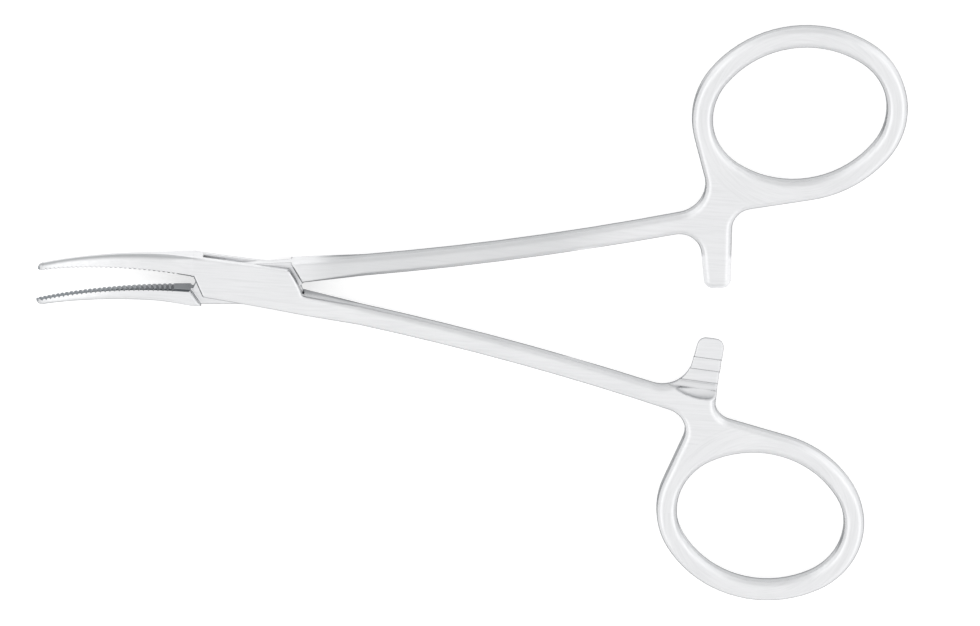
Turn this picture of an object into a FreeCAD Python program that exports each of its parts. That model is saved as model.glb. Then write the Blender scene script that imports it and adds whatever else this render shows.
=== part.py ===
import FreeCAD, Part
import math
import os
from FreeCAD import Placement, Rotation, Vector

# Curved mosquito hemostat with a box lock, shown partly open.
# X runs from the pivot towards the finger rings, Y across the arms, Z along the pivot.
# The origin is on the pivot axis at the underside of the box lock.
# Each arm is drawn in the closed pose about its own mid plane: ring on +Y, jaw on -Y.

doc = FreeCAD.newDocument("hemostat")

# Driving sizes in millimetres and degrees
SIZES = [
    ("open_angle", 8.0),
    ("box_thickness", 3.8),
    ("box_wall", 1.1),
    ("slot_clearance", 0.06),
    ("box_half_width", 3.05),
    ("box_left", 7.0),
    ("box_right", 4.9),
    ("pin_radius", 1.0),
    ("pin_clearance", 0.04),
    ("throat_distance", 9.0),
    ("jaw_length", 30.6),
    ("jaw_bend_start", 10.5),
    ("jaw_bend_radius", 32.0),
    ("box_arm_jaw_gap", 0.15),
    ("tenon_arm_jaw_gap", 0.65),
    ("jaw_tip_gap", 0.04),
    ("jaw_tip_width", 0.9),
    ("jaw_tip_thickness", 1.1),
    ("jaw_blend", 5.0),
    ("jaw_tip_chamfer", 0.1),
    ("jaw_nose", 0.45),
    ("tooth_pitch", 0.72),
    ("tooth_depth", 0.3),
    ("tooth_land", 0.1),
    ("teeth_start", 10.9),
    ("shank_inner_box", 0.6),
    ("shank_inner_middle", 2.73),
    ("shank_inner_ring", 6.98),
    ("shank_outer_box", 3.0),
    ("shank_outer_middle", 5.5),
    ("shank_outer_ring", 9.85),
    ("shank_middle_distance", 30.0),
    ("shank_ring_distance", 58.0),
    ("handle_thickness", 2.8),
    ("handle_round", 0.9),
    ("box_round", 0.35),
    ("neck_start", 8.0),
    ("neck_end", 16.0),
    ("ring_half_length", 12.5),
    ("ring_half_width", 9.95),
    ("ring_end_radius", 8.35),
    ("ring_band", 2.95),
    ("ring_tilt", 9.0),
    ("ring_setback", 2.25),
    ("ring_lift", 2.75),
    ("web_lean", 6.0),
    ("box_arm_notch", 3.4),
    ("box_arm_inner_notch", 4.4),
    ("tenon_arm_notch", 4.4),
    ("tenon_arm_inner_notch", 3.2),
    ("web_corner_radius", 3.0),
    ("ratchet_offset", 7.2),
    ("ratchet_width", 3.8),
    ("ratchet_reach", 0.6),
    ("ratchet_gap", 0.16),
    ("ratchet_first_tooth", 2.43),
    ("ratchet_pitch", 1.82),
    ("ratchet_depth", 0.5),
    ("ratchet_tip_round", 1.3),
    ("ratchet_dish_radius", 6.3),
    ("ratchet_cove_radius", 2.1),
    ("shoulder_bevel", 0.3),
]
sheet = doc.addObject("Spreadsheet::Sheet", "Sizes")
for row, (name, value) in enumerate(SIZES, start=1):
    sheet.set("A%d" % row, name)
    sheet.set("B%d" % row, str(value))
    sheet.setAlias("B%d" % row, name)
doc.recompute()


def size(name):
    return float(sheet.get(name))


half_box = size("box_thickness") / 2
half_handle = size("handle_thickness") / 2
web_level = size("shank_outer_ring") + 0.15
ratchet_left = size("shank_ring_distance") + size("ratchet_offset")
ratchet_right = ratchet_left + size("ratchet_width")
ring_half_span = size("ring_half_length") + size("ring_band")
ring_half_rise = size("ring_half_width") + size("ring_band")
ring_centre = (ratchet_left - size("ring_setback") + ring_half_span,
               size("shank_outer_ring") + size("ring_lift") + ring_half_rise)
BELOW = -6.0
ABOVE = 14.0


# Plane geometry

def plan(x, y):
    return Vector(x, y, BELOW)


def circle_through(first, middle, last):
    circle = Part.Arc(plan(*first), plan(*middle), plan(*last)).toShape().Curve
    return circle.Center, circle.Radius


def height_on(circle, x):
    # Height of the lower side of a large circle that curves upwards
    centre, radius = circle
    return centre.y - math.sqrt(radius ** 2 - (x - centre.x) ** 2)


def arc_piece(circle, start, end):
    middle = (start + end) / 2
    points = [plan(x, height_on(circle, x)) for x in (start, middle, end)]
    return Part.Arc(*points).toShape()


def polyline(points):
    corners = [plan(*point) for point in points]
    return [Part.LineSegment(a, b).toShape() for a, b in zip(corners[:-1], corners[1:])]


def prism(edges):
    face = Part.Face(Part.Wire(Part.__sortEdges__(edges)))
    return face.extrude(Vector(0, 0, ABOVE - BELOW))


def polygon_prism(points):
    return prism(polyline(points + points[:1]))


# Oval of the finger ring from four tangent arcs

ring_turn = math.radians(size("ring_tilt"))


def ring_point(along, across):
    x = ring_centre[0] + along * math.cos(ring_turn) - across * math.sin(ring_turn)
    y = ring_centre[1] + along * math.sin(ring_turn) + across * math.cos(ring_turn)
    return x, y


def oval(offset):
    half_long = size("ring_half_length") + offset
    half_wide = size("ring_half_width") + offset
    end_radius = size("ring_end_radius") + offset
    end_centre = half_long - end_radius
    side_radius = (end_centre ** 2 + half_wide ** 2 - end_radius ** 2) / (2 * (half_wide - end_radius))
    side_centre = side_radius - half_wide
    lean = math.atan2(side_centre, end_centre)
    join_along = end_centre + end_radius * math.cos(lean)
    join_across = end_radius * math.sin(lean)
    right = [(join_along, -join_across), (half_long, 0), (join_along, join_across)]
    top = [(join_along, join_across), (0, half_wide), (-join_along, join_across)]
    left = [(-join_along, join_across), (-half_long, 0), (-join_along, -join_across)]
    bottom = [(-join_along, -join_across), (0, -half_wide), (join_along, -join_across)]
    arcs = [right, top, left, bottom]
    return [Part.Arc(*[plan(*ring_point(*point)) for point in arc]).toShape() for arc in arcs]


# Jaw curve in the side view

bend_centre_height = size("jaw_bend_radius")


def jaw_angle(distance):
    return math.asin(max(distance - size("jaw_bend_start"), 0) / size("jaw_bend_radius"))


def jaw_point(angle, offset):
    # A positive offset lies on the hollow side, towards the centre of the bend
    radius = size("jaw_bend_radius") - offset
    x = -size("jaw_bend_start") - radius * math.sin(angle)
    z = bend_centre_height - radius * math.cos(angle)
    return Vector(x, 0, z)


def contact_line(x, root_gap):
    # The jaws touch at their tips first and stand slightly apart at the root
    slope = (root_gap - size("jaw_tip_gap")) / (size("jaw_length") - size("throat_distance"))
    return -size("jaw_tip_gap") - slope * (size("jaw_length") + x)


def jaw_section(root_gap, distance, shrink=1.0):
    # Section across the jaw: the box outline at the root, D shaped further out
    root = size("throat_distance")
    left_over = 1 - (distance - root) / (size("jaw_length") - root)
    rounding = min((distance - root) / size("jaw_blend"), 1.0)
    tip_thickness = size("jaw_tip_thickness")
    root_width = size("box_half_width") - root_gap - 0.04
    thickness = tip_thickness + (size("box_thickness") - 0.04 - tip_thickness) * left_over ** 1.8
    width = size("jaw_tip_width") + (root_width - size("jaw_tip_width")) * left_over ** 0.95
    chamfer = size("jaw_tip_chamfer") + (size("box_round") - size("jaw_tip_chamfer")) * left_over
    thickness *= shrink
    width *= shrink
    chamfer *= shrink
    face = contact_line(-distance, root_gap) - 0.02
    back = face - width
    half = thickness / 2
    depth = size("box_round") + (0.7 * width - size("box_round")) * rounding
    rise = size("box_round") + (0.7 * half - size("box_round")) * rounding
    side = back + depth
    bulge = 1 - math.sqrt(0.5)
    angle = jaw_angle(distance)
    slide = min(distance - size("jaw_bend_start"), 0.0)

    def at(y, offset):
        point = jaw_point(angle, offset)
        return Vector(point.x - slide, y, point.z)

    def line(first, last):
        return Part.LineSegment(at(*first), at(*last)).toShape()

    def quarter(sign):
        points = [
            (side, sign * half),
            (back + bulge * depth, sign * (half - bulge * rise)),
            (back, sign * (half - rise)),
        ]
        return Part.Arc(*[at(*point) for point in points]).toShape()

    flat = half - chamfer
    inset = face - 0.7 * chamfer
    return Part.Wire([
        line((face, -flat), (face, flat)),
        line((face, flat), (inset, half)),
        line((inset, half), (side, half)),
        quarter(1),
        line((back, half - rise), (back, rise - half)),
        quarter(-1),
        line((side, -half), (inset, -half)),
        line((inset, -half), (face, -flat)),
    ])


def jaw(root_gap):
    root = size("throat_distance")
    length = size("jaw_length")
    nose = size("jaw_nose")
    count = 14
    sections = []
    for step in range(count + 1):
        sections.append(jaw_section(root_gap, root + (length - nose - root) * step / count))
    sections.append(jaw_section(root_gap, length - 0.35 * nose, 0.86))
    sections.append(jaw_section(root_gap, length, 0.55))
    return Part.makeLoft(sections, True, True)


def serrations(root_gap, phase):
    # V grooves across the contact face, square to the curve of the jaw
    first = jaw_angle(size("teeth_start"))
    last = jaw_angle(size("jaw_length") - 0.3)
    turn = size("tooth_pitch") / size("jaw_bend_radius")
    half = (size("tooth_pitch") - size("tooth_land")) / 2
    reach = size("box_thickness")
    grooves = []
    angle = first + (phase + 0.5) * turn
    while angle < last:
        centre = jaw_point(angle, -reach)
        base = [Vector(-half, 0.05, 0), Vector(half, 0.05, 0), Vector(0, -size("tooth_depth"), 0)]
        groove = Part.Face(Part.makePolygon(base + base[:1])).extrude(Vector(0, 0, 2 * reach))
        spot = jaw_point(angle, 0)
        turned = Rotation(Vector(0, 1, 0), math.degrees(angle))
        groove.Placement = Placement(centre + Vector(0, contact_line(spot.x, root_gap), 0), turned)
        grooves.append(groove)
        angle += turn
    return grooves


# Shank, ring and box

inner_edge = circle_through((size("neck_start"), size("shank_inner_box")),
                            (size("shank_middle_distance"), size("shank_inner_middle")),
                            (size("shank_ring_distance"), size("shank_inner_ring")))
outer_edge = circle_through((0.0, size("shank_outer_box")),
                            (size("shank_middle_distance"), size("shank_outer_middle")),
                            (size("shank_ring_distance"), size("shank_outer_ring")))


def shank_strip():
    start = size("neck_end")
    stop = ratchet_left + 2.8
    edges = [arc_piece(outer_edge, start, stop), arc_piece(inner_edge, start, stop)]
    for x in (start, stop):
        edges += polyline([(x, height_on(inner_edge, x)), (x, height_on(outer_edge, x))])
    return prism(edges)


def box_strip(root_gap):
    half_width = size("box_half_width")
    left = -size("box_left") + 0.1
    root = -size("throat_distance")
    bottom = [(size("neck_start"), size("shank_inner_box")), (7.3, 0.5)]
    end_corner = (size("box_right"), -half_width)
    edges = [arc_piece(outer_edge, left, size("neck_start"))]
    edges += polyline([(size("neck_start"), height_on(outer_edge, size("neck_start")))] + bottom)
    edges.append(Part.Arc(plan(7.3, 0.5), plan(6.35, -1.2), plan(*end_corner)).toShape())
    face = contact_line(root, root_gap)
    edges += polyline([end_corner, (root, -half_width), (root, face), (root + 0.4, face),
                       (left, height_on(outer_edge, left))])
    return prism(edges)


def between_faces(body, half_thickness):
    # Keeps the layer of a prism that lies between the two flat faces of the arm
    span = body.BoundBox
    width = span.XLength + 2
    depth = span.YLength + 2
    corner = Vector(span.XMin - 1, span.YMin - 1, -half_thickness)
    return body.common(Part.makeBox(width, depth, 2 * half_thickness, corner)).Solids[0]


def web():
    # Plate between the shank, the ratchet and the ring, straight where it leaves the ring
    end_radius = size("ring_end_radius") + size("ring_band")
    lean = math.radians(size("web_lean"))
    along = -(ring_half_span - end_radius) - end_radius * math.cos(lean)
    leave = ring_point(along, -end_radius * math.sin(lean))
    lower = ring_point(0, -ring_half_rise)
    drop = leave[1] - web_level
    corner = (leave[0] + drop * math.tan(ring_turn + lean), web_level)
    inside = ratchet_left + size("ratchet_width") / 2
    run = (lower[0] - inside) * math.tan(ring_turn)
    return polygon_prism([leave, corner, (inside, web_level), (inside, lower[1] - run), lower, ring_centre])


def ratchet_bar():
    end = -size("ratchet_reach")
    return polygon_prism([(ratchet_left, end), (ratchet_right, end), (ratchet_right, web_level + 1.5),
                          (ratchet_left - 1.0, web_level - 0.5)])


def vertical_edges(shape):
    found = []
    for edge in shape.Edges:
        first = edge.Vertexes[0].Point
        last = edge.Vertexes[-1].Point
        flat = math.hypot(first.x - last.x, first.y - last.y)
        if flat < 1e-6 and abs(first.z - last.z) > 1.0:
            found.append(edge)
    return found


def nearest(edges, x, y):
    return min(edges, key=lambda edge: math.hypot(edge.Vertexes[0].X - x, edge.Vertexes[0].Y - y))


def round_vertical(body, rounds):
    for x, y, radius in rounds:
        body = body.makeFillet(radius, [nearest(vertical_edges(body), x, y)])
    return body


def rims(body, level, cut_planes):
    # Outline edges that lie flat at the level on either face, away from the cut planes
    chosen = []
    for edge in body.Edges:
        first = edge.Vertexes[0].Point
        last = edge.Vertexes[-1].Point
        flat = abs(first.z - last.z) < 1e-5 and abs(abs(first.z) - level) < 1e-5
        at_cut = any(abs(first.x - x) < 1e-5 and abs(last.x - x) < 1e-5 for x in cut_planes)
        if flat and not at_cut:
            chosen.append(edge)
    return chosen


def soften(body, half_thickness, radius, cut_planes):
    # Rounds the outline on both faces in two narrow facets that follow the radius
    first = 0.78 * radius
    second = radius * (math.tan(math.pi / 8) - math.tan(math.pi / 16))
    body = body.makeChamfer(first, rims(body, half_thickness, cut_planes))
    return body.makeChamfer(second, rims(body, half_thickness, cut_planes))


def handle(notch, inner_notch):
    end = -size("ratchet_reach")
    body = shank_strip().fuse([web(), ratchet_bar(), prism(oval(size("ring_band")))])
    body = round_vertical(body, [
        (ratchet_left + 1.0, web_level + 1.3, notch),
        (ratchet_right, web_level + 0.8, size("web_corner_radius")),
        (ratchet_left - 0.9, web_level - 1.8, inner_notch),
        (ratchet_left, end, size("ratchet_tip_round")),
        (ratchet_right, end, size("ratchet_tip_round")),
    ])
    body = between_faces(body.cut(prism(oval(0))), half_handle)
    return soften(body, half_handle, size("handle_round"), [size("neck_end")])


def box(root_gap):
    body = round_vertical(box_strip(root_gap), [
        (size("box_right"), -size("box_half_width"), 0.8),
        (-size("box_left") + 0.1, 2.7, 0.4),
    ])
    body = between_faces(body, half_box)
    return soften(body, half_box, size("box_round"), [size("neck_start"), -size("throat_distance")])


def end_wire(body, x):
    for face in body.Faces:
        if abs(face.CenterOfMass.x - x) < 1e-5 and face.BoundBox.XLength < 1e-4:
            return face.OuterWire
    raise ValueError("no end face")


def arm_body(name, phase, cuts):
    root_gap = size(name + "_jaw_gap")
    body = box(root_gap)
    grip = handle(size(name + "_notch"), size(name + "_inner_notch"))
    neck = Part.makeLoft([end_wire(body, size("neck_start")), end_wire(grip, size("neck_end"))], True, True)
    blade = jaw(root_gap).cut(serrations(root_gap, phase))
    return body.fuse([neck, grip, blade]).cut(cuts)


# Box lock

tenon = size("box_thickness") - 2 * size("box_wall") - 2 * size("slot_clearance")


def layer(points, low, high):
    face = Part.Face(Part.makePolygon([Vector(x, y, low) for x, y in points + points[:1]]))
    return face.extrude(Vector(0, 0, high - low))


def across(first, second, y):
    # Point at height y on the line through two points
    return first[0] + (second[0] - first[0]) * (y - first[1]) / (second[1] - first[1]), y


def between(left_line, right_line):
    # Four corners of the area between two slanted lines, wider than the arm
    low = -5.0
    high = 6.0
    lower = [across(*left_line, low), across(*right_line, low)]
    return lower + [across(*right_line, high), across(*left_line, high)]


def mortise():
    half = tenon / 2 + size("slot_clearance")
    jaw_wall = [(-7.5, -3.3), (-8.7, -0.3)]
    shank_wall = [(7.5, 0.6), (6.4, 3.4)]
    return layer(between(jaw_wall, shank_wall), -half, half)


def bevel(line, outward):
    # Wedge that takes the edge off a shoulder
    first, last = [Vector(x, y, half_box - size("shoulder_bevel")) for x, y in line]
    along = (last - first).normalize()
    side = Vector(-along.y, along.x, 0) * (outward * 2 * size("shoulder_bevel"))
    rise = Vector(0, 0, 2 * size("shoulder_bevel"))
    low = first - along * 4
    face = Part.Face(Part.makePolygon([low, low + rise, low + rise + side, low]))
    return face.extrude(along * 10)


def flipped(shape):
    return shape.mirror(Vector(0, 0, 0), Vector(0, 0, 1))


def thinning():
    # Takes the arm down to the tenon between two shoulders, on both faces
    jaw_shoulder = [(-9.18, -0.5), (-7.73, -2.68)]
    shank_shoulder = [(5.55, 3.26), (6.95, 0.75)]
    cutters = [layer(between(jaw_shoulder, shank_shoulder), tenon / 2, 2 * half_box)]
    cutters += [bevel(jaw_shoulder, -1), bevel(shank_shoulder, 1)]
    return cutters + [flipped(cutter) for cutter in cutters]


# Ratchet

def ratchet_cuts():
    # Dished recess and saw teeth on the front face; the catches look towards the arm's own ring
    crest = -size("ratchet_gap") / 2
    top = size("box_thickness")
    flat = size("ratchet_dish_radius")
    cove = size("ratchet_cove_radius")
    low = Vector(flat, 0, crest)
    mid = Vector(flat + cove * 0.7071, 0, crest + cove * 0.2929)
    end = Vector(flat + cove, 0, crest + cove)
    corners = [end, Vector(end.x, 0, top), Vector(0, 0, top), Vector(0, 0, crest), low]
    profile = [Part.Arc(low, mid, end).toShape()]
    profile += [Part.LineSegment(a, b).toShape() for a, b in zip(corners[:-1], corners[1:])]
    dish = Part.Face(Part.Wire(profile)).revolve(Vector(0, 0, 0), Vector(0, 0, 1), 360)
    dish.translate(Vector(ratchet_left + 1.6, 0, 0))
    depth = size("ratchet_depth")
    pitch = size("ratchet_pitch")
    first = size("ratchet_first_tooth")
    third = first + 2 * pitch
    fade = third + 1.04
    ramp = first - 0.7 * pitch
    outlines = [[(-3.0, top), (-3.0, crest - 0.27 * (ramp + 3.0)), (ramp, crest), (ramp, top)]]
    for catch in (first, first + pitch):
        outlines.append([(catch, top), (catch, crest - depth), (catch + pitch, crest), (catch + pitch, top)])
    outlines.append([(third, top), (third, crest - depth), (fade, crest + 0.14), (fade, top)])
    grooves = []
    for outline in outlines:
        points = [Vector(ratchet_left - 4.0, y, z) for y, z in outline]
        grooves.append(Part.Face(Part.makePolygon(points + points[:1])).extrude(Vector(12.0, 0, 0)))
    return [dish] + grooves


cuts = ratchet_cuts()
female = arm_body("box_arm", 0.0, cuts + [mortise()]).mirror(Vector(0, 0, 0), Vector(0, 1, 0))
male = arm_body("tenon_arm", 0.5, [flipped(cut) for cut in cuts] + thinning())


def piece(kind, label):
    item = doc.addObject(kind, label)
    item.Label = label
    return item


def bored(shape, name, radius):
    # Arm with the hole for the pin; the hole follows the sheet
    solid = piece("Part::Feature", name + "_forging")
    solid.Shape = shape
    bore = piece("Part::Cylinder", name + "_bore")
    bore.setExpression("Radius", radius)
    bore.setExpression("Height", "Sizes.box_thickness * 2 * 1 mm")
    bore.Placement = Placement(Vector(0, 0, -size("box_thickness")), Rotation())
    arm = piece("Part::Cut", name)
    arm.Base = solid
    arm.Tool = bore
    return arm


box_arm = bored(female, "box_arm", "Sizes.pin_radius * 1 mm")
tenon_arm = bored(male, "tenon_arm", "(Sizes.pin_radius + Sizes.pin_clearance) * 1 mm")
half_opening = size("open_angle") / 2
for arm, turn in ((box_arm, -half_opening), (tenon_arm, half_opening)):
    arm.Placement = Placement(Vector(0, 0, half_box), Rotation(Vector(0, 0, 1), turn))

pin = piece("Part::Cylinder", "pivot_pin")
pin.setExpression("Radius", "Sizes.pin_radius * 1 mm")
pin.setExpression("Height", "Sizes.box_thickness * 1 mm")
doc.recompute()

for item in doc.Objects:
    if "Invalid" in item.State or "Error" in item.State:
        raise ValueError("not computed: " + item.Label)
parts = [box_arm, tenon_arm, pin]
for item in parts:
    if item.Shape.isNull() or not item.Shape.isValid() or len(item.Shape.Solids) != 1:
        raise ValueError("bad shape: " + item.Label)
os.makedirs("parts", exist_ok=True)
for item in parts:
    item.Shape.exportStep("parts/" + item.Label + ".step")
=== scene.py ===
import math

import bpy
from mathutils import Matrix

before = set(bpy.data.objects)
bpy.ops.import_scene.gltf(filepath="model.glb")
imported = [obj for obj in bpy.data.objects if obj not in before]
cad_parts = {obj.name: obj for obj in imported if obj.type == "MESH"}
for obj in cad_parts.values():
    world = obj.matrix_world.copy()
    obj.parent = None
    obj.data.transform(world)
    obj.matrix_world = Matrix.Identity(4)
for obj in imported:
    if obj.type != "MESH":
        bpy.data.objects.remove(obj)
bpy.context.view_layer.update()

# Places on an arm, in metres, as the two ends of a soft change
JAW_TIP = (-0.0305, -0.0285)
SLIM_JAW = (-0.020, -0.012)
JAW_ROOT = (-0.0095, -0.0065)
PIN_EDGE = (0.0018, 0.0022)
SHANK_START = (0.006, 0.012)
HANDLE_START = (0.008, 0.014)
SHANK_END = (0.040, 0.055)
RATCHET_START = (0.045, 0.047)
RATCHET_SIDE = (0.0085, 0.0095)
LOWER_HALF = (0.0012, 0.0019)
RING_BAND_EDGE = (0.0142, 0.0160)

ARM_LEAN = 10.0
THUMB_RING = (0.0764, 0.0309, 0.0019)
FINGER_RING = (0.0764, -0.0309, 0.0019)

# Brush lines and grain per metre, and the height of the bump
LINES_ACROSS = 3200.0
LINES_ALONG = 150.0
LINES_ROUND_RING = 3.0
GRAIN_SCALE = 5200.0
CLOUD_SCALE = 110.0
BUMP_HEIGHT = 0.00001

BOX_ROUNDING = 0.0005
JAW_ROUNDING = 0.00012
EDGE_REACH = 0.00011
RATCHET_EDGE_REACH = 0.00024


# Node building

class Nodes:
    """Adds nodes to a material or world and wires their inputs."""

    def __init__(self, owner):
        owner.use_nodes = True
        self.tree = owner.node_tree
        self.tree.nodes.clear()

    def add(self, kind, inputs=None, **settings):
        node = self.tree.nodes.new(kind)
        for key, value in settings.items():
            setattr(node, key, value)
        for key, value in (inputs or {}).items():
            if isinstance(value, bpy.types.NodeSocket):
                self.tree.links.new(value, node.inputs[key])
            else:
                node.inputs[key].default_value = value
        return node

    def math(self, operation, first, second=0.0, third=0.0):
        inputs = {0: first, 1: second, 2: third}
        return self.add("ShaderNodeMath", inputs, operation=operation).outputs[0]

    def product(self, first, *others):
        for other in others:
            first = self.math("MULTIPLY", first, other)
        return first

    def rise(self, value, ends, low=0.0, high=1.0):
        """Smooth step from low to high while value goes from the first end to the second."""
        inputs = {"Value": value, "From Min": ends[0], "From Max": ends[1], "To Min": low, "To Max": high}
        return self.add("ShaderNodeMapRange", inputs, interpolation_type="SMOOTHSTEP").outputs[0]

    def fall(self, value, ends):
        """Smooth step from 1 to 0 while value goes from the first end to the second."""
        return self.rise(value, ends, 1.0, 0.0)

    def mix(self, factor, first, second):
        """Mixes two numbers."""
        node = self.add("ShaderNodeMix", {0: factor, 2: first, 3: second}, data_type="FLOAT")
        return node.outputs[0]

    def color(self, factor, first, second):
        node = self.add("ShaderNodeMix", {0: factor, 6: first, 7: second}, data_type="RGBA")
        return node.outputs[2]

    def noise(self, vector, scale, detail=3.0, roughness=0.55):
        inputs = {"Vector": vector, "Scale": scale, "Detail": detail, "Roughness": roughness}
        return self.add("ShaderNodeTexNoise", inputs).outputs["Fac"]

    def placed(self, vector, turn_deg, scale=(1, 1, 1)):
        """Turns a place about Z and stretches it."""
        inputs = {"Vector": vector, "Rotation": (0, 0, math.radians(turn_deg)), "Scale": scale}
        return self.add("ShaderNodeMapping", inputs).outputs[0]

    def parts(self, vector):
        return self.add("ShaderNodeSeparateXYZ", {0: vector}).outputs

    def length(self, first, second):
        squares = self.math("ADD", self.math("POWER", first, 2.0), self.math("POWER", second, 2.0))
        return self.math("SQRT", squares)


# Satin stainless steel, with shade painted into its colour

def polar(n, place, centre):
    """Angle, radius and height about the axis of a finger ring."""
    offset = n.add("ShaderNodeVectorMath", {0: place, 1: centre}, operation="SUBTRACT").outputs[0]
    x, y, z = n.parts(offset)
    return n.math("ARCTAN2", y, x), n.length(x, y), z


def brushing(n, place, lean, ring_centre):
    """Fine lines along the arm, which leans by that many degrees, and round its finger ring."""
    along_arm = n.placed(place, -lean, (LINES_ALONG, LINES_ACROSS, LINES_ACROSS))
    angle, radius, height = polar(n, place, ring_centre)
    round_ring = n.add("ShaderNodeCombineXYZ", {
        0: n.product(angle, LINES_ROUND_RING),
        1: n.product(radius, LINES_ACROSS),
        2: n.product(height, LINES_ACROSS),
    }).outputs[0]
    on_ring = n.fall(radius, RING_BAND_EDGE)
    return n.mix(on_ring, n.noise(along_arm, 1.0, 4.0, 0.6), n.noise(round_ring, 1.0, 4.0, 0.6))


def facing(n, normal):
    """How flat a surface lies, 0 on a wall and 1 on a flat, and how far it faces the thumb ring's side."""
    part = n.parts(normal)
    return n.math("ABSOLUTE", part[2]), n.rise(part[1], (0.2, 0.6))


def sharpness(n, reach):
    """1 within reach of an edge of about 90 degrees, 0 on flats and shallow facets."""
    true_normal = n.add("ShaderNodeNewGeometry").outputs["True Normal"]
    near = n.add("ShaderNodeBevel", {"Radius": reach}, samples=6).outputs[0]
    bent = n.add("ShaderNodeVectorMath", {0: near, 1: true_normal}, operation="DOT_PRODUCT")
    return n.fall(bent.outputs["Value"], (0.78, 0.93))


def contact_face(n, place, lean):
    """1 on the serrated faces, which lie near the middle plane once the jaws are turned shut."""
    along, across, _ = n.parts(n.placed(place, -0.4 * lean))
    reach = n.math("MULTIPLY_ADD", along, 0.03, 0.0014)
    past = n.math("SUBTRACT", n.math("ABSOLUTE", across), reach)
    return n.fall(past, (-0.00005, 0.00005))


def satin_steel(name, lean, ring_centre, shank_shade=0.0):
    """Brushed steel with painted shade: darker on edges, outlines, side walls, banks, crests, jaws,
    contact faces, hollows and, by the last argument, on the shank.
    """
    material = bpy.data.materials.new(name)
    n = Nodes(material)
    place = n.add("ShaderNodeTexCoord").outputs["Object"]
    x, y, z = n.parts(place)
    lines = brushing(n, place, lean, ring_centre)
    grain = n.noise(place, GRAIN_SCALE, 2.0, 0.6)
    clouds = n.noise(place, CLOUD_SCALE, 3.0, 0.5)

    jaw = n.fall(x, JAW_ROOT)
    handle = n.rise(x, HANDLE_START)
    ratchet = n.product(n.fall(n.math("ABSOLUTE", y), RATCHET_SIDE), n.rise(x, RATCHET_START))
    not_ratchet = n.mix(ratchet, 1.0, 0.0)
    off_pin = n.rise(n.length(x, y), PIN_EDGE)

    rounding = n.product(n.mix(jaw, BOX_ROUNDING, JAW_ROUNDING), off_pin)
    soft = n.add("ShaderNodeBevel", {"Radius": rounding}, samples=8).outputs[0]
    flatness, far = facing(n, soft)
    open_sky = n.add("ShaderNodeAmbientOcclusion", {"Distance": 0.005}, samples=8).outputs["AO"]

    # Painted shade: the shank darker, by the amount the last argument gives
    shank = n.product(n.rise(x, SHANK_START), n.fall(x, SHANK_END))
    # Painted shade: grey banks on the handle's roundings that face the thumb ring's side
    painted_bank_shade = n.product(far, handle, n.fall(flatness, (0.10, 0.90)))
    # Painted shade: the jaw's roundings darker towards the tip, and the tip itself darker still
    painted_jaw_shade = n.product(n.fall(x, SLIM_JAW), n.fall(flatness, (0.25, 0.85)))
    painted_jaw_shade = n.math("MAXIMUM", painted_jaw_shade, n.rise(x, JAW_TIP, 0.9, 0.0))
    # Painted shade: grey crests on the jaw's sloping faces towards the thumb ring's side
    painted_crest_shade = n.product(n.fall(flatness, (0.55, 0.93)), n.rise(flatness, (0.08, 0.30)), far, jaw)
    # Painted shade: side walls darker, except those facing the thumb ring's side
    wall = n.product(n.fall(flatness, (0.05, 0.35)), n.mix(far, 1.0, 0.0))
    # Painted shade: dark outlines on steep roundings; on the thumb ring's side only near the bottom of the
    # handle, and none on the ratchet
    low = n.product(n.fall(z, LOWER_HALF), handle)
    painted_outline_shade = n.product(n.fall(flatness, (0.45, 0.82)), n.mix(far, 1.0, low), not_ratchet)
    # Painted shade: dark lines along sharp edges, wider on the ratchet's steps
    edge = n.product(sharpness(n, n.mix(ratchet, EDGE_REACH, RATCHET_EDGE_REACH)), off_pin)
    # Painted shade: the serrated contact faces dark, where the jaws shade each other
    contact = n.product(contact_face(n, place, lean), jaw, n.fall(flatness, (0.55, 0.75)))
    # Painted shade: steep faces close to other surfaces darker, from ambient occlusion, except on the
    # ratchet
    painted_occlusion_shade = n.product(n.fall(open_sky, (0.10, 0.50)), n.fall(flatness, (0.45, 0.65)), not_ratchet)

    base = n.color(clouds, (0.79, 0.795, 0.81, 1), (0.87, 0.873, 0.88, 1))
    # Every layer after the brush lines is painted shade
    layers = [
        (n.rise(lines, (0.35, 0.75)), 0.20, (0.55, 0.555, 0.565, 1)),
        (shank, shank_shade, (0.50, 0.51, 0.515, 1)),
        (painted_bank_shade, 0.55, (0.30, 0.31, 0.32, 1)),
        (painted_jaw_shade, 0.35, (0.40, 0.41, 0.42, 1)),
        (painted_crest_shade, 0.65, (0.25, 0.26, 0.27, 1)),
        (wall, 0.6, (0.40, 0.41, 0.42, 1)),
        (painted_outline_shade, 0.95, (0.14, 0.15, 0.16, 1)),
        (edge, n.mix(ratchet, 0.6, 1.0), (0.10, 0.11, 0.12, 1)),
        (contact, 0.8, (0.16, 0.18, 0.20, 1)),
        (painted_occlusion_shade, 1.0, (0.20, 0.21, 0.225, 1)),
    ]
    for mask, strength, tint in layers:
        base = n.color(n.product(mask, strength), base, tint)

    roughness = n.math("MULTIPLY_ADD", lines, 0.14, n.math("MULTIPLY_ADD", clouds, 0.08, 0.24))
    height = n.math("ADD", n.product(lines, 0.6), n.product(grain, 0.4))
    bump = n.add("ShaderNodeBump", {
        "Strength": 0.35,
        "Distance": BUMP_HEIGHT,
        "Height": height,
        "Normal": soft,
    }).outputs[0]
    shader = n.add("ShaderNodeBsdfPrincipled", {
        "Base Color": base,
        "Metallic": 1.0,
        "Roughness": roughness,
        "Normal": bump,
    })
    n.add("ShaderNodeOutputMaterial", {"Surface": shader.outputs[0]})
    return material


def dress(node, material):
    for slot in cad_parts[node].material_slots:
        slot.material = material


dress("box_arm", satin_steel("satin_steel_box", -ARM_LEAN, FINGER_RING))
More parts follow.
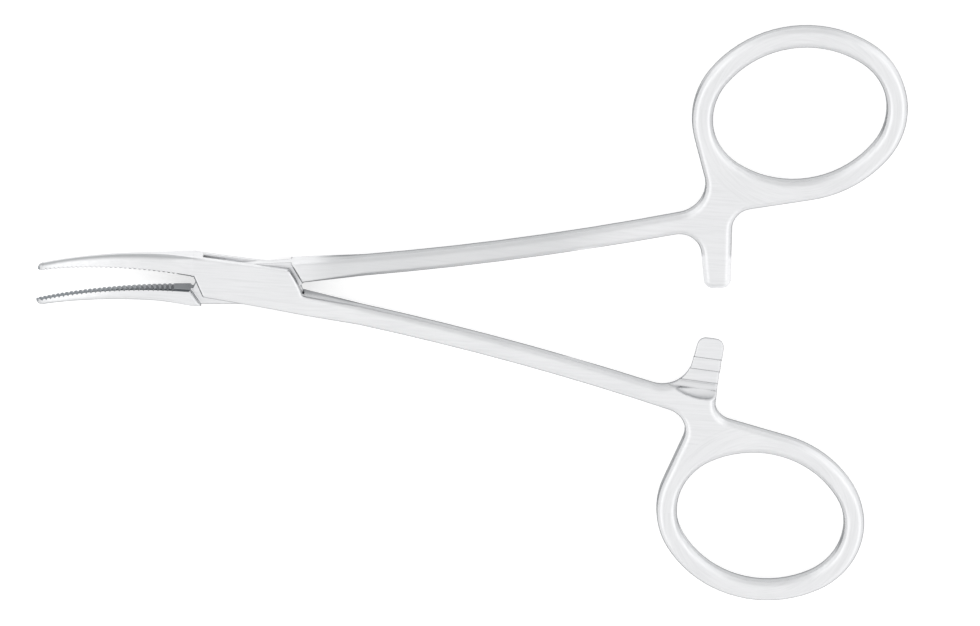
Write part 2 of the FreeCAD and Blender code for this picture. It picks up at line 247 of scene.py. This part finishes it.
# The tenon arm's shank gets painted shade
dress("tenon_arm", satin_steel("satin_steel_tenon", ARM_LEAN, THUMB_RING, shank_shade=0.35))
dress("pivot_pin", satin_steel("satin_steel_pin", -ARM_LEAN, FINGER_RING))


# Floor and surroundings

def pale_floor():
    """Shows white to the camera and in the steel, and keeps the shadow."""
    bpy.ops.mesh.primitive_plane_add(size=6.0, location=(0.03, 0, 0))
    floor = bpy.context.object
    floor.name = "floor"
    material = bpy.data.materials.new("pale_floor")
    n = Nodes(material)
    ray = n.add("ShaderNodeLightPath").outputs
    seen = n.math("MAXIMUM", ray["Is Camera Ray"], ray["Is Glossy Ray"])
    seen = n.math("MAXIMUM", seen, ray["Is Transmission Ray"])
    paint = n.add("ShaderNodeBsdfDiffuse", {"Color": (0.60, 0.60, 0.60, 1)})
    glow = n.add("ShaderNodeEmission", {"Color": (1, 1, 1, 1), "Strength": n.product(seen, 0.58)})
    both = n.add("ShaderNodeAddShader", {0: paint.outputs[0], 1: glow.outputs[0]})
    n.add("ShaderNodeOutputMaterial", {"Surface": both.outputs[0]})
    floor.data.materials.append(material)


def surroundings():
    """Bright overhead and to the left and right, darker towards the horizon and behind the rings."""
    world = bpy.data.worlds.new("studio")
    bpy.context.scene.world = world
    n = Nodes(world)
    x, y, z = n.parts(n.add("ShaderNodeTexCoord").outputs["Generated"])
    sides = n.rise(n.math("ABSOLUTE", x), (0.30, 0.75), 0.0, 0.30)
    far_side = n.rise(y, (0.45, 0.95), 0.0, 0.12)
    horizon = n.product(n.rise(z, (0.02, 0.40), 0.25, 0.0), n.fall(y, (0.2, 0.6)))
    level = n.math("SUBTRACT", n.math("ADD", sides, 1.0), n.math("ADD", far_side, horizon))
    sky = n.add("ShaderNodeBackground", {"Color": (1, 1, 1, 1), "Strength": level})
    n.add("ShaderNodeOutputWorld", {"Surface": sky.outputs[0]})


pale_floor()
surroundings()


# Camera at the photograph's viewing angle

camera_data = bpy.data.cameras.new("camera")
camera_data.lens = 190.58
camera_data.sensor_width = 36.0
camera_data.clip_start = 0.01
camera = bpy.data.objects.new("camera", camera_data)
place = Matrix.Translation((0.007215, 0.24093, 0.712137))
turn = Matrix.Rotation(math.radians(4.28), 4, "Z")
tilt = Matrix.Rotation(math.radians(19.0), 4, "X") @ Matrix.Rotation(math.radians(0.73), 4, "Y")
camera.matrix_world = place @ turn @ tilt.inverted()
bpy.context.collection.objects.link(camera)
bpy.context.scene.camera = camera
bpy.context.scene.view_settings.view_transform = "Standard"
